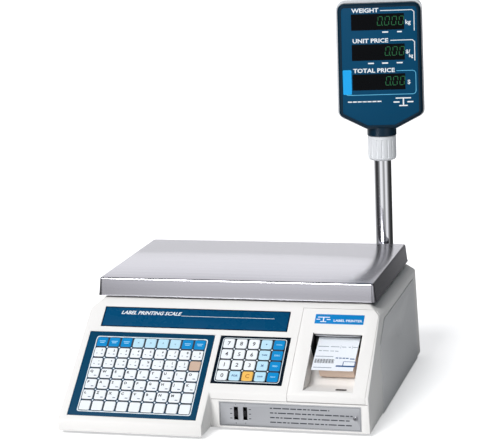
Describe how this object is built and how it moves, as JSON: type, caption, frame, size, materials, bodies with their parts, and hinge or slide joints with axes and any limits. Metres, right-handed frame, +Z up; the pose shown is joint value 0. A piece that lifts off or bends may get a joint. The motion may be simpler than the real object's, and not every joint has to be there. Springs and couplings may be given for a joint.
{
  "type": "retail price scale",
  "caption": "Price-computing counter scale: steel platter on a load cell, sloped case with preset and number keys, label printer with a side door, and a swivelling display on a pole.",
  "frame": {"origin": "on the counter under the middle of the whole scale's box, display head included; the case's own middle is 6.7 mm to -X and 7.4 mm to -Y of it", "axes": "+X to the operator's right, +Y to the back, +Z up"},
  "size_m": [0.4208, 0.447, 0.519],
  "materials": {
    "white_abs": "fine moulded texture, satin white",
    "pale_grey_abs": "fine moulded texture, pale grey",
    "navy_panel": "semi-gloss printed navy film",
    "dark_navy_panel": "semi-gloss printed dark navy film",
    "blue_key": "satin blue key",
    "light_blue_key": "satin light blue key",
    "orange_key": "satin orange key",
    "white_key": "satin white key",
    "beige_plastic": "satin beige moulding",
    "black_plastic": "satin black moulding",
    "motor_black": "black coated steel can",
    "dark_lens": "glossy tinted acrylic",
    "rubber": "matt black rubber",
    "brushed_steel": "brushed stainless steel",
    "steel_sheet": "plated steel sheet",
    "polished_tube": "polished plated tube",
    "aluminium": "machined aluminium",
    "cast_aluminium": "die-cast aluminium",
    "brass": "cut brass",
    "circuit_board": "green circuit board with its components",
    "paper": "coated label paper"
  },
  "bodies": {
    "base": {"upper_case": "white_abs", "base_pan": "steel_sheet", "printer_bezel": "white_abs", "operator_window": "navy_panel", "operator_display": "circuit_board", "preset_keypad": "navy_panel", "numeric_keypad": "dark_navy_panel", "spec_plate": "brushed_steel", "plate_screw": "steel_sheet", "load_cell": "aluminium", "main_board": "circuit_board", "power_supply": "steel_sheet", "power_inlet": "black_plastic", "data_port": "black_plastic", "printer_frame": "steel_sheet", "feed_motor": "motor_black", "label_strip": "paper", "peel_block": "beige_plastic", "pole_tube": "polished_tube", "pole_bracket": "pale_grey_abs"},
    "weighing_spider": {"spider": "cast_aluminium"},
    "platter": {"platter": "brushed_steel"},
    "door": {"side_door": "white_abs"},
    "head": {"head_rear_shell": "pale_grey_abs", "head_front_bezel": "navy_panel", "head_lens": "dark_lens", "head_display_board": "circuit_board"},
    "collar": {"collar_nut": "pale_grey_abs"},
    "power_knob": {"power_switch": "black_plastic"},
    "range_knob": {"range_switch": "black_plastic"},
    "platen": {"platen_roller": "rubber"},
    "motor_shaft": {"motor_pinion": "brass"},
    "thermal_head": {"print_head": "black_plastic"},
    "release_lever": {"head_lever": "blue_key"},
    "roll": {"label_roll": "paper"},
    "spool": {"rewind_spool": "black_plastic"},
    "foot_front_left_screw": {"foot_front_left": "rubber"},
    "foot_front_right_screw": {"foot_front_right": "rubber"},
    "foot_rear_left_screw": {"foot_rear_left": "rubber"},
    "foot_rear_right_screw": {"foot_rear_right": "rubber"},
    "key_0_cap": {"key_0": "white_key"},
    "key_for_cap": {"key_for": "light_blue_key"},
    "key_clear_cap": {"key_clear": "orange_key"},
    "key_save_cap": {"key_save": "light_blue_key"},
    "key_print_cap": {"key_print": "blue_key"},
    "key_1_cap": {"key_1": "white_key"},
    "key_2_cap": {"key_2": "white_key"},
    "key_3_cap": {"key_3": "white_key"},
    "key_multiply_cap": {"key_multiply": "light_blue_key"},
    "key_feed_cap": {"key_feed": "blue_key"},
    "key_4_cap": {"key_4": "white_key"},
    "key_5_cap": {"key_5": "white_key"},
    "key_6_cap": {"key_6": "white_key"},
    "key_tare_cap": {"key_tare": "light_blue_key"},
    "key_zero_cap": {"key_zero": "blue_key"},
    "key_7_cap": {"key_7": "white_key"},
    "key_8_cap": {"key_8": "white_key"},
    "key_9_cap": {"key_9": "white_key"},
    "key_point_cap": {"key_point": "light_blue_key"},
    "key_total_cap": {"key_total": "blue_key"}
  },
  "joints": [
    {"name": "weighing_deflection", "type": "slide", "parent": "base", "child": "weighing_spider", "axis": [0, 0, -1], "range_m": [0, 0.0003], "stiffness_N_per_m": 100000, "springref_m": -0.0003},
    {"name": "platter_lift", "type": "slide", "parent": "weighing_spider", "child": "platter", "axis": [0, 0, 1], "range_m": [0, 0.06]},
    {"name": "door_hinge", "type": "hinge", "parent": "base", "child": "door", "pos_m": [0.18959, 0.03803, 0.009], "axis": [0, 1, 0], "range_deg": [0, 90]},
    {"name": "head_swivel", "type": "hinge", "parent": "base", "child": "head", "pos_m": [0.14759, 0.19253, 0.338], "axis": [0, 0, 1], "range_deg": [-170, 170]},
    {"name": "collar_turn", "type": "hinge", "parent": "base", "child": "collar", "pos_m": [0.14759, 0.19253, 0.2915], "axis": [0, 0, 1], "range_deg": [0, 270]},
    {"name": "power_slide", "type": "slide", "parent": "base", "child": "power_knob", "axis": [0, 0, 1], "range_m": [-0.004, 0.004]},
    {"name": "range_slide", "type": "slide", "parent": "base", "child": "range_knob", "axis": [0, 0, 1], "range_m": [-0.004, 0.004]},
    {"name": "platen_spin", "type": "hinge", "parent": "base", "child": "platen", "pos_m": [0.14359, -0.0906, 0.09848], "axis": [1, 0, 0], "continuous": true},
    {"name": "motor_spin", "type": "hinge", "parent": "base", "child": "motor_shaft", "pos_m": [0.10559, -0.08097, 0.0797], "axis": [1, 0, 0], "continuous": true},
    {"name": "head_release", "type": "hinge", "parent": "base", "child": "release_lever", "pos_m": [0.18359, -0.074, 0.1065], "axis": [-1, 0, 0], "range_deg": [0, 60]},
    {"name": "head_lift", "type": "hinge", "parent": "base", "child": "thermal_head", "pos_m": [0.14359, -0.0792, 0.12277], "axis": [-1, 0, 0], "range_deg": [0, 1.6]},
    {"name": "label_roll_spin", "type": "hinge", "parent": "base", "child": "roll", "pos_m": [0.14209, 0.05253, 0.07], "axis": [1, 0, 0], "continuous": true},
    {"name": "rewind_spin", "type": "hinge", "parent": "base", "child": "spool", "pos_m": [0.13759, 0.13253, 0.05], "axis": [1, 0, 0], "continuous": true},
    {"name": "foot_front_left_adjust", "type": "slide", "parent": "base", "child": "foot_front_left_screw", "axis": [0, 0, 1], "range_m": [-0.006, 0]},
    {"name": "foot_front_right_adjust", "type": "slide", "parent": "base", "child": "foot_front_right_screw", "axis": [0, 0, 1], "range_m": [-0.006, 0]},
    {"name": "foot_rear_left_adjust", "type": "slide", "parent": "base", "child": "foot_rear_left_screw", "axis": [0, 0, 1], "range_m": [-0.006, 0]},
    {"name": "foot_rear_right_adjust", "type": "slide", "parent": "base", "child": "foot_rear_right_screw", "axis": [0, 0, 1], "range_m": [-0.006, 0]},
    {"name": "key_0_press", "type": "slide", "parent": "base", "child": "key_0_cap", "axis": [0, 0.6198, -0.7848], "range_m": [0, 0.0006], "stiffness_N_per_m": 500, "springref_m": -0.0005},
    {"name": "key_for_press", "type": "slide", "parent": "base", "child": "key_for_cap", "axis": [0, 0.6198, -0.7848], "range_m": [0, 0.0006], "stiffness_N_per_m": 500, "springref_m": -0.0005},
    {"name": "key_clear_press", "type": "slide", "parent": "base", "child": "key_clear_cap", "axis": [0, 0.6198, -0.7848], "range_m": [0, 0.0006], "stiffness_N_per_m": 500, "springref_m": -0.0005},
    {"name": "key_save_press", "type": "slide", "parent": "base", "child": "key_save_cap", "axis": [0, 0.6198, -0.7848], "range_m": [0, 0.0006], "stiffness_N_per_m": 500, "springref_m": -0.0005},
    {"name": "key_print_press", "type": "slide", "parent": "base", "child": "key_print_cap", "axis": [0, 0.6198, -0.7848], "range_m": [0, 0.0006], "stiffness_N_per_m": 500, "springref_m": -0.0005},
    {"name": "key_1_press", "type": "slide", "parent": "base", "child": "key_1_cap", "axis": [0, 0.6198, -0.7848], "range_m": [0, 0.0006], "stiffness_N_per_m": 500, "springref_m": -0.0005},
    {"name": "key_2_press", "type": "slide", "parent": "base", "child": "key_2_cap", "axis": [0, 0.6198, -0.7848], "range_m": [0, 0.0006], "stiffness_N_per_m": 500, "springref_m": -0.0005},
    {"name": "key_3_press", "type": "slide", "parent": "base", "child": "key_3_cap", "axis": [0, 0.6198, -0.7848], "range_m": [0, 0.0006], "stiffness_N_per_m": 500, "springref_m": -0.0005},
    {"name": "key_multiply_press", "type": "slide", "parent": "base", "child": "key_multiply_cap", "axis": [0, 0.6198, -0.7848], "range_m": [0, 0.0006], "stiffness_N_per_m": 500, "springref_m": -0.0005},
    {"name": "key_feed_press", "type": "slide", "parent": "base", "child": "key_feed_cap", "axis": [0, 0.6198, -0.7848], "range_m": [0, 0.0006], "stiffness_N_per_m": 500, "springref_m": -0.0005},
    {"name": "key_4_press", "type": "slide", "parent": "base", "child": "key_4_cap", "axis": [0, 0.6198, -0.7848], "range_m": [0, 0.0006], "stiffness_N_per_m": 500, "springref_m": -0.0005},
    {"name": "key_5_press", "type": "slide", "parent": "base", "child": "key_5_cap", "axis": [0, 0.6198, -0.7848], "range_m": [0, 0.0006], "stiffness_N_per_m": 500, "springref_m": -0.0005},
    {"name": "key_6_press", "type": "slide", "parent": "base", "child": "key_6_cap", "axis": [0, 0.6198, -0.7848], "range_m": [0, 0.0006], "stiffness_N_per_m": 500, "springref_m": -0.0005},
    {"name": "key_tare_press", "type": "slide", "parent": "base", "child": "key_tare_cap", "axis": [0, 0.6198, -0.7848], "range_m": [0, 0.0006], "stiffness_N_per_m": 500, "springref_m": -0.0005},
    {"name": "key_zero_press", "type": "slide", "parent": "base", "child": "key_zero_cap", "axis": [0, 0.6198, -0.7848], "range_m": [0, 0.0006], "stiffness_N_per_m": 500, "springref_m": -0.0005},
    {"name": "key_7_press", "type": "slide", "parent": "base", "child": "key_7_cap", "axis": [0, 0.6198, -0.7848], "range_m": [0, 0.0006], "stiffness_N_per_m": 500, "springref_m": -0.0005},
    {"name": "key_8_press", "type": "slide", "parent": "base", "child": "key_8_cap", "axis": [0, 0.6198, -0.7848], "range_m": [0, 0.0006], "stiffness_N_per_m": 500, "springref_m": -0.0005},
    {"name": "key_9_press", "type": "slide", "parent": "base", "child": "key_9_cap", "axis": [0, 0.6198, -0.7848], "range_m": [0, 0.0006], "stiffness_N_per_m": 500, "springref_m": -0.0005},
    {"name": "key_point_press", "type": "slide", "parent": "base", "child": "key_point_cap", "axis": [0, 0.6198, -0.7848], "range_m": [0, 0.0006], "stiffness_N_per_m": 500, "springref_m": -0.0005},
    {"name": "key_total_press", "type": "slide", "parent": "base", "child": "key_total_cap", "axis": [0, 0.6198, -0.7848], "range_m": [0, 0.0006], "stiffness_N_per_m": 500, "springref_m": -0.0005}
  ],
  "couplings": [
    {"joint": "motor_spin", "follows": "platen_spin", "ratio": -2},
    {"joint": "head_lift", "follows": "head_release", "ratio": 0.026667}
  ]
}
